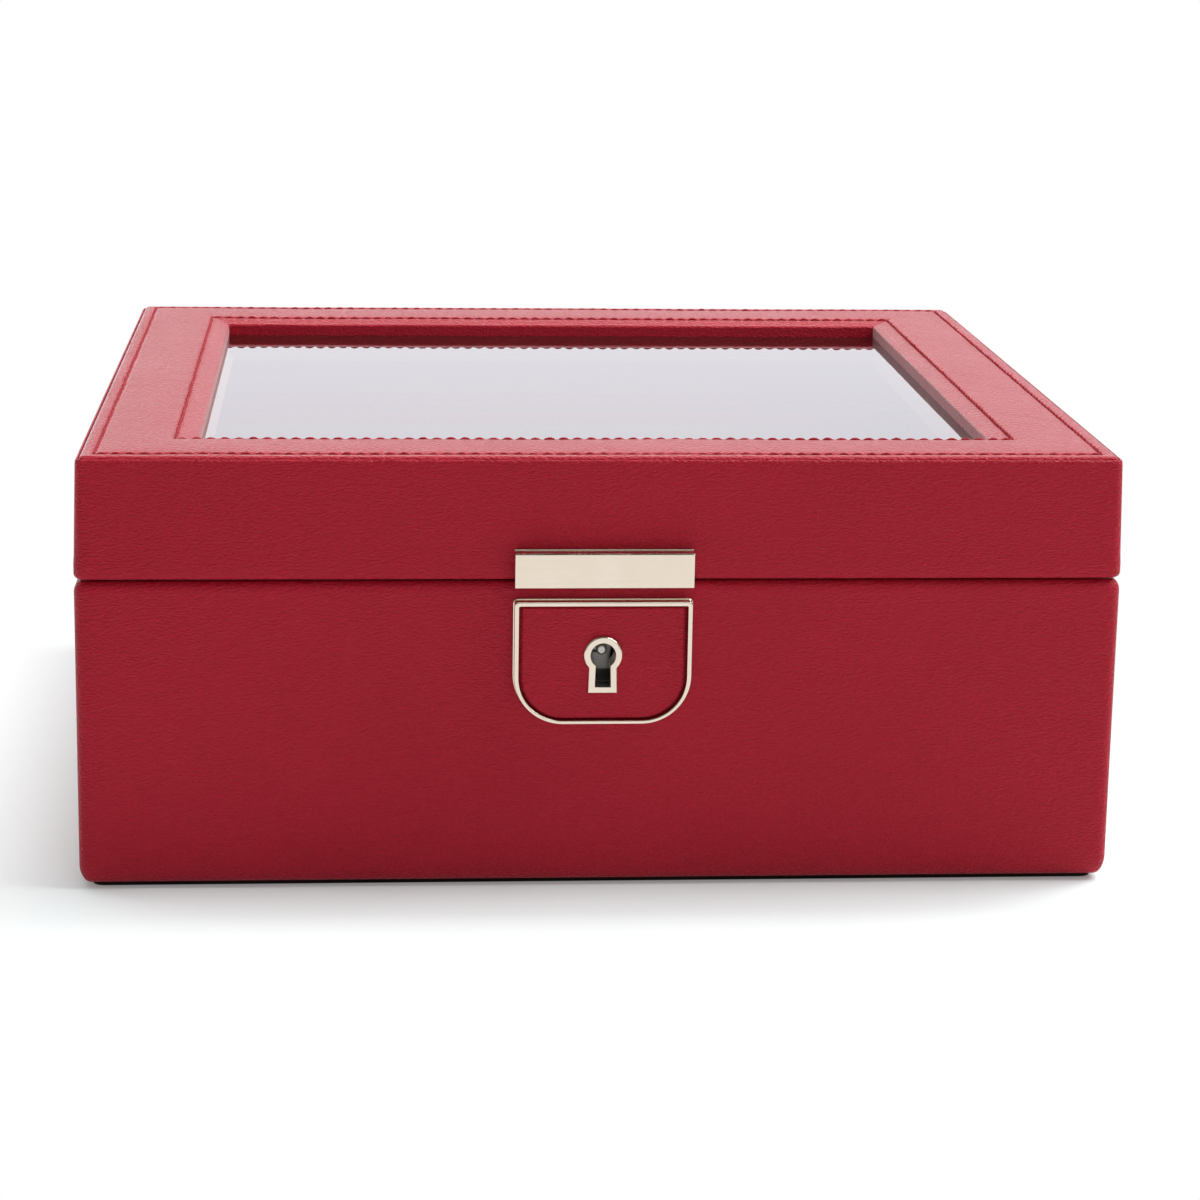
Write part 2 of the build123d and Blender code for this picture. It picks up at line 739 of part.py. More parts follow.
with BuildPart() as lid_top_board:
    block(panel_w - 2 * leather_t, panel_d - 2 * leather_t, 0, z_glass_top, z_panel_board)
    block(window_w + 2 * leather_t, window_d + 2 * leather_t, 0, z_glass_top, z_panel_board,
          mode=Mode.SUBTRACT)
    rim_edges = lid_top_board.edges().group_by(Axis.Z)[-1]
    inner_edges = rim_edges.filter_by(lambda edge: edge.length < window_w + 4 * leather_t)
    fillet(inner_edges, lip_r - leather_t)
keep("lid_top_board", lid_top_board.part)

with BuildPart() as lid_top_leather:
    block(panel_w, panel_d, corner_r - leather_t - panel_groove, z_glass_top, z_top)
    fillet(lid_top_leather.edges().group_by(Axis.Z)[-1], panel_edge_r)
    block(window_w, window_d, 0, z_glass_top, z_top, mode=Mode.SUBTRACT)
    rim_edges = lid_top_leather.edges().filter_by(GeomType.LINE).group_by(Axis.Z)[-1]
    inner_edges = rim_edges.filter_by(lambda edge: edge.length < window_w + leather_t)
    fillet(inner_edges, lip_r)
    add(lid_top_board.part, mode=Mode.SUBTRACT)
keep("lid_top_leather", lid_top_leather.part)

with BuildPart() as glass_pane:
    block(window_w + 2 * glass_bearing, window_d + 2 * glass_bearing, 0,
          z_glass_top - glass_t, z_glass_top)
keep("glass_pane", glass_pane.part)

with BuildPart() as lid_lining_ceiling:
    block(inner_w, inner_d, 0, z_ceiling, z_ledge)
    block(window_w - 2 * ceiling_overhang, window_d - 2 * ceiling_overhang, 0, z_ceiling, z_ledge,
          mode=Mode.SUBTRACT)
keep("lid_lining_ceiling", lid_lining_ceiling.part)
wall_linings("lid_lining", z_lid_board + lap_h, z_ceiling)


# Catch: plate in the lid's front rim with two staples that the bolt goes through

with BuildPart() as lid_catch:
    with Locations((0, lock_y, z_lid + leather_t / 2)):
        Box(catch_w, rim_plate_d, leather_t)
    for side in (-1, 1):
        with Locations((side * staple_x, lock_y, z_lid)):
            Box(staple_t + 2 * fit_gap, tenon_d + 2 * fit_gap, 2 * (leather_t + cut_past),
                mode=Mode.SUBTRACT)
    cut_screw_room(rim_screw_room, catch_screws)
keep("lid_catch", lid_catch.part)

for side, word in ((-1, "left"), (1, "right")):
    with BuildPart() as staple:
        with BuildSketch(Plane((side * staple_x - staple_t / 2, lock_y, z_lid - staple_l),
                               x_dir=(0, 1, 0), z_dir=(1, 0, 0))) as outline:
            Rectangle(staple_d, staple_l, align=(Align.CENTER, Align.MIN))
            fillet(outline.vertices().group_by(Axis.Y)[0], staple_foot_r)
            Rectangle(tenon_d, staple_l + leather_t, align=(Align.CENTER, Align.MIN))
            with Locations((0, staple_foot)):
                Rectangle(eye_d, eye_h, align=(Align.CENTER, Align.MIN), mode=Mode.SUBTRACT)
        extrude(amount=staple_t)
    keep(f"catch_staple_{word}", staple.part)
keep("lid_catch_screws", screws_at(rim_screw, catch_screws))

with BuildPart() as latch_bar:
    face_y = -depth / 2
    z_bar = z_lid - bar_overlap
    with BuildSketch(Plane((-bar_w / 2, 0, 0), x_dir=(0, 1, 0), z_dir=(1, 0, 0))):
        Polygon(
            (face_y - bar_relief, z_bar),
            (face_y - bar_relief, z_bar + bar_relief_h),
            (face_y, z_bar + bar_relief_h),
            (face_y, z_bar + bar_h + bar_lip_h),
            (face_y - bar_lip_t, z_bar + bar_h + bar_lip_h),
            (face_y - bar_lip_t, z_bar + bar_h),
            (face_y - bar_t + bar_bevel, z_bar + bar_h),
            (face_y - bar_t, z_bar + bar_h - bar_bevel),
            (face_y - bar_t, z_bar),
            align=None,
        )
    extrude(amount=bar_w)
    cut_screw_room(wall_screw_room, bar_screws)
keep("latch_bar", latch_bar.part)
keep("latch_bar_screws", screws_at(wall_screw, bar_screws))


for name, part in pieces.items():
    export_step(part, f"parts/{name}.step")
print(len(pieces), "pieces, closed height", round(z_top, 3))
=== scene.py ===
import math
import random
import bpy
import numpy as np
from mathutils import Matrix, Vector
from mathutils.bvhtree import BVHTree


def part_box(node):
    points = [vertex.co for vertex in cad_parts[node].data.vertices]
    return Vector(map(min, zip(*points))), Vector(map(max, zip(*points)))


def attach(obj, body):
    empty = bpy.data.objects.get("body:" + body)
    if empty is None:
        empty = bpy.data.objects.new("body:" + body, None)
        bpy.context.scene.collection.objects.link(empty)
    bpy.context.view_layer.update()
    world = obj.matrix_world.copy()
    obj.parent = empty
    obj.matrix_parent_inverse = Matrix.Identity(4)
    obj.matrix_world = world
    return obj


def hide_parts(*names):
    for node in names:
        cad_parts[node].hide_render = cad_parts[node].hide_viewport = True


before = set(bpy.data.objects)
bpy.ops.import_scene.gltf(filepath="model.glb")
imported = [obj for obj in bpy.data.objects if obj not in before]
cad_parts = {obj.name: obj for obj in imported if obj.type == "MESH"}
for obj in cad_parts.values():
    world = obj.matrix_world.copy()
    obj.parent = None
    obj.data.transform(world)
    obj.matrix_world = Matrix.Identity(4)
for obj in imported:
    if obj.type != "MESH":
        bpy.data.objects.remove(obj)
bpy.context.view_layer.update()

# Base carcass: four walls and a floor of sanded fibreboard, glued up and hidden by the
# leather outside and the suede inside. Only its bare edges in the hinge recesses can be seen.


def put(tree, socket, value):
    """Sets a socket to a value, or joins it to another node's output."""
    if isinstance(value, bpy.types.NodeSocket):
        tree.links.new(value, socket)
    else:
        socket.default_value = value


def math_node(tree, operation, *values):
    """A Math node whose inputs are set in their order."""
    node = tree.nodes.new("ShaderNodeMath")
    node.operation = operation
    for socket, value in zip(node.inputs, values):
        put(tree, socket, value)
    return node


class Finish:
    """A material with one Principled shader and short ways to add texture to it."""

    def __init__(self, name, **values):
        self.material = bpy.data.materials.new(name)
        self.material.use_nodes = True
        self.tree = self.material.node_tree
        self.shader = self.tree.nodes["Principled BSDF"]
        self.place = self.tree.nodes.new("ShaderNodeTexCoord").outputs["Object"]
        for key, value in values.items():
            self.shader.inputs[key.replace("_", " ")].default_value = value

    def node(self, kind, **inputs):
        """A new node with some of its inputs set or joined."""
        node = self.tree.nodes.new(kind)
        for key, value in inputs.items():
            put(self.tree, node.inputs[key.replace("_", " ")], value)
        return node

    def stretched(self, x, y, z):
        """The place in the object, scaled by its own amount along each axis."""
        return self.node("ShaderNodeMapping", Vector=self.place, Scale=(x, y, z)).outputs[0]

    def noise(self, place, scale, detail=3.0, roughness=0.5):
        """Soft noise from 0 to 1, with so many swells to the metre."""
        node = self.node("ShaderNodeTexNoise", Vector=place, Scale=scale, Detail=detail,
                         Roughness=roughness)
        return node.outputs[0]

    def cells(self, place, scale):
        """Rounded cells, high between them and low in their middles."""
        node = self.node("ShaderNodeTexVoronoi", Vector=place, Scale=scale, Randomness=1.0)
        node.feature = "SMOOTH_F1"
        node.inputs["Smoothness"].default_value = 0.35
        return node.outputs["Distance"]

    def span(self, value, low, high, to_low, to_high):
        """A value spread from one range to another, and held inside it."""
        node = self.node("ShaderNodeMapRange", Value=value, From_Min=low, From_Max=high,
                         To_Min=to_low, To_Max=to_high)
        return node.outputs[0]

    def sum(self, a, b, weight=1.0):
        """One value and a second one, which counts by its weight."""
        return math_node(self.tree, "MULTIPLY_ADD", b, weight, a).outputs[0]

    def blend(self, share, low, high):
        """A colour between two others, by a share from 0 to 1."""
        node = self.tree.nodes.new("ShaderNodeMix")
        node.data_type = "RGBA"
        put(self.tree, node.inputs[0], share)
        node.inputs[6].default_value = (*low, 1.0)
        node.inputs[7].default_value = (*high, 1.0)
        return node.outputs[2]

    def colour(self, value):
        put(self.tree, self.shader.inputs["Base Color"], value)

    def rough(self, value):
        put(self.tree, self.shader.inputs["Roughness"], value)

    def bump(self, height, depth, strength=1.0):
        """Relief whose full height is depth metres."""
        node = self.node("ShaderNodeBump", Height=height, Strength=strength, Distance=depth)
        put(self.tree, self.shader.inputs["Normal"], node.outputs["Normal"])


def finish_node(name, finish, ease=0.0, steps=2):
    """Gives a CAD piece its material, and rounds its edges by ease millimetres."""
    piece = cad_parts[name]
    piece.data.materials.clear()
    piece.data.materials.append(finish.material)
    if ease > 0:
        piece.modifiers.new("join", "WELD").merge_threshold = 1e-6
        flat = piece.modifiers.new("flat", "DECIMATE")
        flat.decimate_type = "DISSOLVE"
        flat.angle_limit = math.radians(1)
        edge = piece.modifiers.new("ease", "BEVEL")
        edge.width = ease / 1000
        edge.segments = steps
        edge.limit_method = "ANGLE"
        edge.angle_limit = math.radians(20)
        edge.harden_normals = False
        piece.modifiers.new("shade", "WEIGHTED_NORMAL").keep_sharp = False


board_pale = (0.50, 0.35, 0.21)
board_dark = (0.30, 0.19, 0.10)
board = Finish("fibreboard", Roughness=0.85, Specular_IOR_Level=0.2)
speck = board.noise(board.place, 2600, 5, 0.7)
board.colour(board.blend(board.span(speck, 0.35, 0.65, 0, 1), board_dark, board_pale))
board.bump(speck, 0.00008)
finish_node("base_carcass", board)

# Base leather: one skin of grained calf, glued over the walls, turned over the rim and under
# the floor. Its face is plated to a low gloss, with a fine pebble drawn out sideways.

crimson = (0.44, 0.0034, 0.022)
crimson_deep = (0.30, 0.0016, 0.011)
grain_depth = 0.00016


def leather_finish(name, face, crease, pebble, bloom):
    """Grained leather: pebbles with creases between them, soft blotches, fine pores and a bloom
    of wax, which shows at a low angle."""
    skin = Finish(name, Specular_IOR_Level=0.22, Sheen_Weight=bloom, Sheen_Roughness=0.35)
    across = skin.stretched(0.5, 0.7, 1.0)
    grain = skin.cells(across, 980 * pebble)
    fold = skin.noise(across, 620 * pebble, 4, 0.6)
    pore = skin.noise(skin.place, 5200, 2)
    blotch = skin.noise(skin.place, 34, 4, 0.55)
    height = skin.sum(skin.span(grain, 0.1, 0.75, 1, 0), fold, 1.1)
    height = skin.sum(height, pore, 0.16)
    # Painted shade: the creases between the pebbles are coloured darker, with random blotches of tone
    # laid over it
    crease_shade_and_blotch = skin.sum(skin.span(height, 0.55, 1.6, 0.35, 0.8),
                    skin.span(blotch, 0.3, 0.7, -0.06, 0.10))
    skin.colour(skin.blend(crease_shade_and_blotch, crease, face))
    skin.rough(skin.sum(skin.span(fold, 0.3, 0.7, 0.48, 0.38),
                        skin.span(blotch, 0.3, 0.7, 0.03, -0.03)))
    skin.bump(height, grain_depth, 0.95)
    return skin


red_leather = leather_finish("red_leather", crimson, crimson_deep, 2.6, 0.09)


def new_piece(name, points, faces, finish, smooth=True):
    """A mesh object of the given points and faces, in one material."""
    mesh = bpy.data.meshes.new(name)
    mesh.from_pydata([tuple(p) for p in points], [], faces)
    mesh.validate()
    mesh.materials.append(finish.material)
    mesh.polygons.foreach_set("use_smooth", [smooth] * len(mesh.polygons))
    piece = bpy.data.objects.new(name, mesh)
    bpy.context.scene.collection.objects.link(piece)
    return piece


def wave(seed, points, size):
    """A smooth random swell over the points, from about -1 to 1, the same every run."""
    rng = np.random.default_rng(seed)
    total = np.zeros(len(points))
    for _ in range(9):
        way = rng.normal(size=3)
        way /= np.linalg.norm(way)
        pace = 2 * math.pi / size
        total += np.sin(points @ way * pace * rng.uniform(0.6, 1.6) + rng.uniform(0, 6.3))
    return total / 4


def ring(half_x, half_y, radius, stations, fixed, arc):
    """Places round a rounded rectangle from its front left corner, as rows of x, y, side, along.
    Stations are places along each side of the outermost ring. Those within fixed of a side's
    middle keep their place on every ring, and the others close up towards the corners."""
    rows = []
    for side in range(4):
        turn = side * math.pi / 2
        way = np.array((math.cos(turn), math.sin(turn)))
        out = np.array((math.sin(turn), -math.cos(turn)))
        half, reach = (half_x, half_y) if side % 2 == 0 else (half_y, half_x)
        full = stations[side][-1]
        for place in stations[side]:
            past = max(abs(place) - fixed, 0) / (full - fixed)
            along = math.copysign(min(abs(place), fixed) + past * (half - radius - fixed), place)
            rows.append((*(along * way + reach * out), side, along))
        centre = (half - radius) * way + (reach - radius) * out
        for step in range(1, arc):
            angle = step / arc * math.pi / 2
            spot = centre + radius * (math.sin(angle) * way + math.cos(angle) * out)
            rows.append((*spot, side, half - radius))
    return np.array(rows)


def skin_between(name, rings, finish, hole=None):
    """A skin over a stack of rings, which leaves out the faces inside a hole's two corners."""
    around = len(rings[0])
    points = np.concatenate(rings)
    faces = []
    for i in range(len(rings) - 1):
        for j in range(around):
            k = (j + 1) % around
            face = (i * around + j, i * around + k, (i + 1) * around + k, (i + 1) * around + j)
            middle = points[list(face)].mean(0)
            if hole is None or not (np.all(middle > hole[0]) and np.all(middle < hole[1])):
                faces.append(face)
    return new_piece(name, points, faces, finish)


def arc_line(inset, height, radius_in, radius_up, start, end, steps):
    """Part of an ellipse in the skin's profile, round a middle, between two angles in degrees."""
    line = []
    for angle in np.radians(np.linspace(start, end, steps + 1)):
        line.append((inset + radius_in * math.cos(angle), height + radius_up * math.sin(angle)))
    return line


corner_r = 0.0025
tight_corner_r = 0.0004
even_run = 0.090
edge_gap = 0.00002
notch_reach = 0.0042
skin_swell = 0.0002


def wall_skin(name, low, high, profile, notches, hole=None):
    """Leather round the four walls of the base or the lid, from a profile of insets and heights.
    A notch (side, from, to, inset from, inset to, height) is let into the rim for a fitting."""
    stations = []
    for side in range(4):
        full = (high.x if side % 2 == 0 else high.y) - corner_r
        places = set(np.round(np.linspace(-full, full, 61), 6))
        for notch in notches:
            if notch[0] == side:
                for edge in notch[1:3]:
                    places |= {round(edge - edge_gap, 6), round(edge + edge_gap, 6)}
        stations.append(sorted(places))
    rings = []
    for inset, height in profile:
        radius = max(corner_r - inset, tight_corner_r)
        places = ring(high.x - inset, high.y - inset, radius, stations, even_run, 8)
        heights = np.full(len(places), height)
        for side, start, end, inset_from, inset_to, level in notches:
            if inset_from < inset < inset_to and abs(height - level) < notch_reach:
                within = (places[:, 2] == side) & (places[:, 3] > start) & (places[:, 3] < end)
                heights[within] = level
        points = np.column_stack((places[:, :2], heights))
        points[:, :2] *= 1 + skin_swell * wave(5, points, 0.06)[:, None]
        rings.append(points)
    return skin_between(name, rings, red_leather, hole)


rim_w = 0.0114
lap_h = 0.0042
turn_r = 0.0008
hinge_notch = 0.0031
hinge_in = (-0.001, 0.0077)
plate_notch = 0.0012
plate_in = (0.0022, 0.0092)
notch_slack = 0.0001


def rim_line(low, high):
    """Insets straight across a rim, with one close to each side of every notch's edge."""
    line = [low, 0.0050, high]
    for edge in (*plate_in, hinge_in[1]):
        line += [edge - edge_gap, edge + edge_gap]
    return sorted(line)


def turned_edge(rim, way):
    """The leather's inner edge: round a small bend from the rim, and back along the wall."""
    line = arc_line(rim_w - turn_r, rim - way * turn_r, turn_r, way * turn_r, 90, 0, 4)
    return line + [(rim_w, rim - way * 0.0020), (rim_w, rim - way * (lap_h + 0.0004))]


base_low, base_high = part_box("base_leather")
foot_z = base_low.z
rim_z = base_high.z
leaf_low, leaf_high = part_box("hinge_base_leaf_right")
leaf_ends = (leaf_low.x - notch_slack, leaf_high.x + notch_slack)
# The back wall runs from right to left, so both hinges lie alike on each side of its middle
back_notches = [(2, *sorted((side * leaf_ends[0], side * leaf_ends[1]))) for side in (-1, 1)]
base_notches = [(*notch, *hinge_in, rim_z - hinge_notch) for notch in back_notches]
plate_low, plate_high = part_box("lock_case")
base_notches.append((0, plate_low.x - notch_slack, plate_high.x + notch_slack, *plate_in,
                     rim_z - plate_notch))
under_w = 0.0132
foot_in, foot_up = 0.0024, 0.0042
soft_in, soft_up = 0.0018, 0.0026
wall_from, wall_to = 0.0060, 0.0045
brink_down = 0.0028
rim_to = rim_w - 0.0010
profile = [(under_w, foot_z), (0.0060, foot_z), (foot_in, foot_z)]
profile += arc_line(foot_in, foot_z + foot_up, -foot_in, -foot_up, 84, 0, 9)
profile += [(0.0, z) for z in np.linspace(foot_z + wall_from, rim_z - wall_to, 30)]
profile += [(0.0, rim_z - hinge_notch - edge_gap), (0.0, rim_z - hinge_notch + edge_gap)]
profile += [(0.0, rim_z - brink_down)]
profile += arc_line(soft_in, rim_z - soft_up, -soft_in, soft_up, 0, 90, 10)
profile += [(inset, rim_z) for inset in rim_line(soft_in + 0.0002, rim_to)]
profile += turned_edge(rim_z, 1)
face_low, face_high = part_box("lock_face")
# Behind the lock face the leather is cut away, apart from a lap round the face's edge
behind_face = (np.array((face_low.x + 0.003, base_low.y - 0.001, face_low.z + 0.004)),
               np.array((face_high.x - 0.003, base_low.y + 0.001, face_high.z - 0.001)))
base_skin = wall_skin("base_skin", base_low, base_high, profile, base_notches, behind_face)
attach(base_skin, "base")
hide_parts("base_leather")

# Base pad: a sheet of black suede under the box, which keeps it from scratching a table. It is
# cut a little smaller than the box and glued over the leather's turned-in edges.


def suede_finish(name, pale, dark, nap=1.0):
    """Short nap over card or foam: a soft sheen, brushed patches and a fibrous surface."""
    cloth = Finish(name, Roughness=0.93, Specular_IOR_Level=0.08, Sheen_Weight=0.35,
                   Sheen_Roughness=0.45)
    fibre = cloth.noise(cloth.place, 3800, 4, 0.7)
    lie = cloth.noise(cloth.stretched(1.0, 1.7, 1.0), 46 * nap, 4, 0.6)
    share = cloth.sum(cloth.span(fibre, 0.3, 0.7, 0.0, 0.45), cloth.span(lie, 0.35, 0.65, 0.0, 0.55))
    cloth.colour(cloth.blend(share, dark, pale))
    cloth.shader.inputs["Sheen Tint"].default_value = (*pale, 1.0)
    cloth.bump(cloth.sum(fibre, lie, 1.2), 0.00016, 0.8)
    return cloth


black_suede = suede_finish("black_suede", (0.030, 0.018, 0.017), (0.014, 0.008, 0.008))
finish_node("base_pad", black_suede, 0.2)

# Tray linings: taupe suede over thin card, one panel on the floor and one on each wall. They are
# cut to fit and glued in after the leather is turned over the rim.

taupe_suede = suede_finish("taupe_suede", (0.40, 0.285, 0.215), (0.29, 0.195, 0.14))
for name in ("floor_lining", "base_lining_left", "base_lining_right", "base_lining_front",
             "base_lining_back"):
    finish_node(name, taupe_suede, 0.3, 3)

# Dividers: stiff card wrapped in the same suede, with rounded top edges. One long and three
# cross pieces are slotted halfway through, pushed into each other and set into the tray.

for name in ("long_divider", "cross_divider_1", "cross_divider_2", "cross_divider_3"):
    finish_node(name, taupe_suede, 0.25, 2)

# Watch cushions: foam rolls in suede. A long strip wraps round the roll and is sewn to a
# panel at each end, over a thin piping, so the ends draw in and the seams pucker.

cushion_suede = suede_finish("cushion_suede", (0.45, 0.33, 0.255), (0.34, 0.235, 0.175), 1.3)
roll_corner_r = 0.0135
room_to_swell = Vector((0.0022, 0.0030, 0.0022))
most_swell = 0.005
pressure = 4.0
voxel = 0.0032
end_draw = 0.075
draw_from = 0.45
seam_in = 0.0042
channel_d, channel_w = 0.0009, 0.0016
pucker_d, pucker_w = 0.0005, 0.0034
puckers = 46
heart_r = 0.012
lump_d = 0.0005
most_stretch = 1.06
piping_r = 0.00075
piping_steps = 120


def round_block(low, high, radius, steps=5):
    """A closed block with rounded long edges, as vertices and faces."""
    half = (high - low) / 2
    middle = (high + low) / 2
    outline = []
    for corner in range(4):
        turn = corner * math.pi / 2
        sign_y = math.copysign(1, math.cos(turn + math.pi / 4))
        sign_z = math.copysign(1, math.sin(turn + math.pi / 4))
        for step in range(steps + 1):
            angle = turn + step / steps * math.pi / 2
            outline.append((sign_y * (half.y - radius) + radius * math.cos(angle),
                            sign_z * (half.z - radius) + radius * math.sin(angle)))
    points = []
    for end in (-1, 1):
        points += [(middle.x + end * half.x, middle.y + y, middle.z + z) for y, z in outline]
    count = len(outline)
    faces = [tuple(range(count - 1, -1, -1)), tuple(range(count, 2 * count))]
    for i in range(count):
        j = (i + 1) % count
        faces.append((i, j, count + j, count + i))
    return points, faces


def tube(points, faces, line, radii, sides, closed=False):
    """Adds a tube along a line of places to the lists of points and faces."""
    count = len(line)
    first = len(points)
    for i, place in enumerate(line):
        before = line[i - 1] if i or closed else place
        after = line[(i + 1) % count] if i < count - 1 or closed else place
        ahead = (after - before).normalized()
        beside = ahead.cross(Vector((0, 0, 1)))
        if beside.length < 0.1:
            beside = ahead.cross(Vector((1, 0, 0)))
        beside.normalize()
        over = beside.cross(ahead)
        for side in range(sides):
            turn = side / sides * 2 * math.pi
            points.append(place + radii[i] * (math.cos(turn) * beside + math.sin(turn) * over))
    for i in range(count if closed else count - 1):
        here = first + i * sides
        there = first + (i + 1) % count * sides
        for side in range(sides):
            other = (side + 1) % sides
            faces.append((here + side, here + other, there + other, there + side))


def settle(piece):
    """Applies the piece's modifiers to its mesh."""
    graph = bpy.context.evaluated_depsgraph_get()
    mesh = bpy.data.meshes.new_from_object(piece.evaluated_get(graph))
    piece.modifiers.clear()
    piece.data = mesh


def places_of(piece):
    return np.array([v.co for v in piece.data.vertices])


def inflate(piece):
    """Blows the piece up as cloth for 20 frames, with a limit on how far each point moves."""
    before = places_of(piece)
    cloth = piece.modifiers.new("cloth", "CLOTH")
    cloth.settings.use_pressure = True
    cloth.settings.uniform_pressure_force = pressure
    cloth.settings.effector_weights.gravity = 0
    cloth.settings.tension_stiffness = 12
    cloth.settings.compression_stiffness = 12
    cloth.settings.bending_stiffness = 0.4
    scene = bpy.context.scene
    for step in range(1, 21):
        scene.frame_set(step)
    settle(piece)
    scene.frame_set(1)
    moved = places_of(piece) - before
    length = np.linalg.norm(moved, axis=1, keepdims=True)
    after = before + moved * np.minimum(1, most_swell / np.maximum(length, 1e-9))
    piece.data.vertices.foreach_set("co", after.ravel())


def sew(where, middle, half, number):
    """Draws the ends in, lays each seam in a puckered channel, and fits the size of the place."""
    out = where - middle
    end = np.abs(out[:, 0]) / half[0]
    draw = 1 - end_draw * np.clip((end - draw_from) / (1 - draw_from), 0, 1) ** 2
    out[:, 1] *= draw
    out[:, 2] *= draw
    seam = np.abs(np.abs(out[:, 0]) - (half[0] - seam_in))
    angle = np.arctan2(out[:, 2], out[:, 1])
    pucker = 0.5 + 0.5 * np.sin(angle * puckers + 3 * wave(number + 40, where, 0.02))
    reach = np.linalg.norm(out[:, 1:], axis=1, keepdims=True)
    inward = out[:, 1:] / np.maximum(reach, 1e-6)
    dip = channel_d * np.exp(-(seam / channel_w) ** 2)
    dip += pucker_d * pucker * np.exp(-(seam / pucker_w) ** 2)
    dip *= np.clip(reach[:, 0] / heart_r, 0, 1)
    out[:, 1:] -= inward * dip[:, None]
    out += (wave(number, where, 0.045) * lump_d)[:, None] * out / half
    size = np.abs(out).max(0)
    out *= np.minimum(half / size, most_stretch)
    out[:, 2] = np.maximum(out[:, 2], -half[2])
    return out + middle


def lay_piping(name, cushion, middle, seam_x):
    """A thin cord round each seam, laid on the cushion's own surface."""
    tree = BVHTree.FromObject(cushion, bpy.context.evaluated_depsgraph_get())
    points, faces = [], []
    for side in (-1, 1):
        heart = Vector(middle) + Vector((side * seam_x, 0, 0))
        line = []
        for step in range(piping_steps):
            turn = step / piping_steps * 2 * math.pi
            way = Vector((0, math.cos(turn), math.sin(turn)))
            hit, _, _, _ = tree.ray_cast(heart + way * 0.08, -way)
            line.append(hit - way * piping_r * 0.35)
        tube(points, faces, line, [piping_r] * len(line), 8, closed=True)
    return new_piece(name, points, faces, cushion_suede)


def make_cushion(number):
    """One cushion with its piping: blown up, then drawn in at its seams."""
    node = f"watch_cushion_{number}"
    low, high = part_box(node)
    points, faces = round_block(low + room_to_swell, high - room_to_swell, roll_corner_r)
    cushion = new_piece(f"{node}_suede", points, faces, cushion_suede)
    remesh = cushion.modifiers.new("remesh", "REMESH")
    remesh.mode = "VOXEL"
    remesh.voxel_size = voxel
    settle(cushion)
    inflate(cushion)
    cushion.modifiers.new("smooth", "SMOOTH").iterations = 3
    cushion.modifiers.new("finer", "SUBSURF").levels = 1
    settle(cushion)
    middle = np.array((low + high) / 2)
    half = np.array((high - low) / 2)
    sewn = sew(places_of(cushion), middle, half, number)
    cushion.data.vertices.foreach_set("co", sewn.ravel())
    cushion.data.update()
    piping = lay_piping(f"{node}_piping", cushion, middle, half[0] - seam_in)
    for piece in (cushion, piping):
        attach(piece, f"cushion_{number}")
    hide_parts(node)


for number in range(1, 9):
    make_cushion(number)

# Lock: a zinc-plated steel case let into the front wall from its rim, with its drill pin, sliding
# bolt and leaf spring under a cap, held by countersunk screws.


def metal_finish(name, pale, dark, roughness, brushed):
    """Plated metal with fine sideways brushing, soft spots of tarnish and small dents."""
    plate = Finish(name, Metallic=1.0)
    hair = plate.noise(plate.stretched(60, 2600, 2600), 1.0, 4, 0.7)
    spot = plate.noise(plate.place, 130, 5, 0.6)
    plate.colour(plate.blend(plate.span(spot, 0.3, 0.7, 0, 1), dark, pale))
    plate.rough(plate.sum(plate.span(hair, 0.3, 0.7, roughness - 0.05, roughness + 0.05),
                          plate.span(spot, 0.35, 0.7, -0.03, 0.04)))
    plate.bump(plate.sum(hair, spot, 0.6), brushed)
    return plate


lock_steel = metal_finish("lock_steel", (0.66, 0.65, 0.63), (0.50, 0.49, 0.47), 0.34, 0.00002)
# Painted shade: the case, its cap and the bolt take a darker copy of the lock steel, which keeps the
# inside of the keyhole dark
keyhole_shade_steel = metal_finish("keyhole_shade_steel", (0.30, 0.295, 0.285), (0.20, 0.195, 0.19), 0.42, 0.00002)
for name in ("drill_pin", "bolt_spring", "lock_case_screws", "lock_face_screws"):
    finish_node(name, lock_steel, 0.08, 2)
for name in ("lock_case", "lock_cap", "lock_bolt"):
    finish_node(name, keyhole_shade_steel, 0.08, 2)

# Lock face: a gilt casting with a raised band round a leather inlay, and a gilt keyhole rim
# pressed into the middle. It is screwed to the wall from inside, in front of the lock.

pale_gilt = metal_finish("pale_gilt", (0.85, 0.745, 0.63), (0.80, 0.69, 0.57), 0.20, 0.000004)
finish_node("keyhole_escutcheon", pale_gilt, 0.18, 3)
finish_node("lock_inlay", red_leather, 0.25, 3)
side_band, top_band, foot_band = 0.00098, 0.00102, 0.00078
face_gap = 0.0002
lower_r, upper_r = 0.0105, 0.0008
front_y = base_low.y


def shield_line(past, share):
    """Places round the face's outline, drawn in by a share of its bands and a little more."""
    side = past + share * side_band
    left, right = face_low.x + face_gap + side, face_high.x - face_gap - side
    bottom = face_low.z + face_gap + past + share * foot_band
    top = face_high.z - face_gap - past - share * top_band
    lower, upper = lower_r - side, max(upper_r - side / 2, 0.0002)
    rows = []
    for x, z, radius, turn in ((left, bottom, lower, 2), (right, bottom, lower, 3),
                               (right, top, upper, 0), (left, top, upper, 1)):
        inward_x = 1 if x == left else -1
        inward_z = 1 if z == bottom else -1
        for angle in np.radians(np.linspace(90 * turn, 90 * turn + 90, 17)):
            rows.append((x + radius * (inward_x + math.cos(angle)),
                         z + radius * (inward_z + math.sin(angle))))
    return np.array(rows)


def shield_skin(name, profile, finish):
    """A band that follows the face's outline, from rows of past, share and millimetres proud."""
    rings = []
    for past, share, proud in profile:
        line = shield_line(past / 1000, share)
        rings.append(np.column_stack((line[:, 0], np.full(len(line), front_y - proud / 1000),
                                      line[:, 1])))
    piece = skin_between(name, rings, finish)
    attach(piece, "base")
    return piece


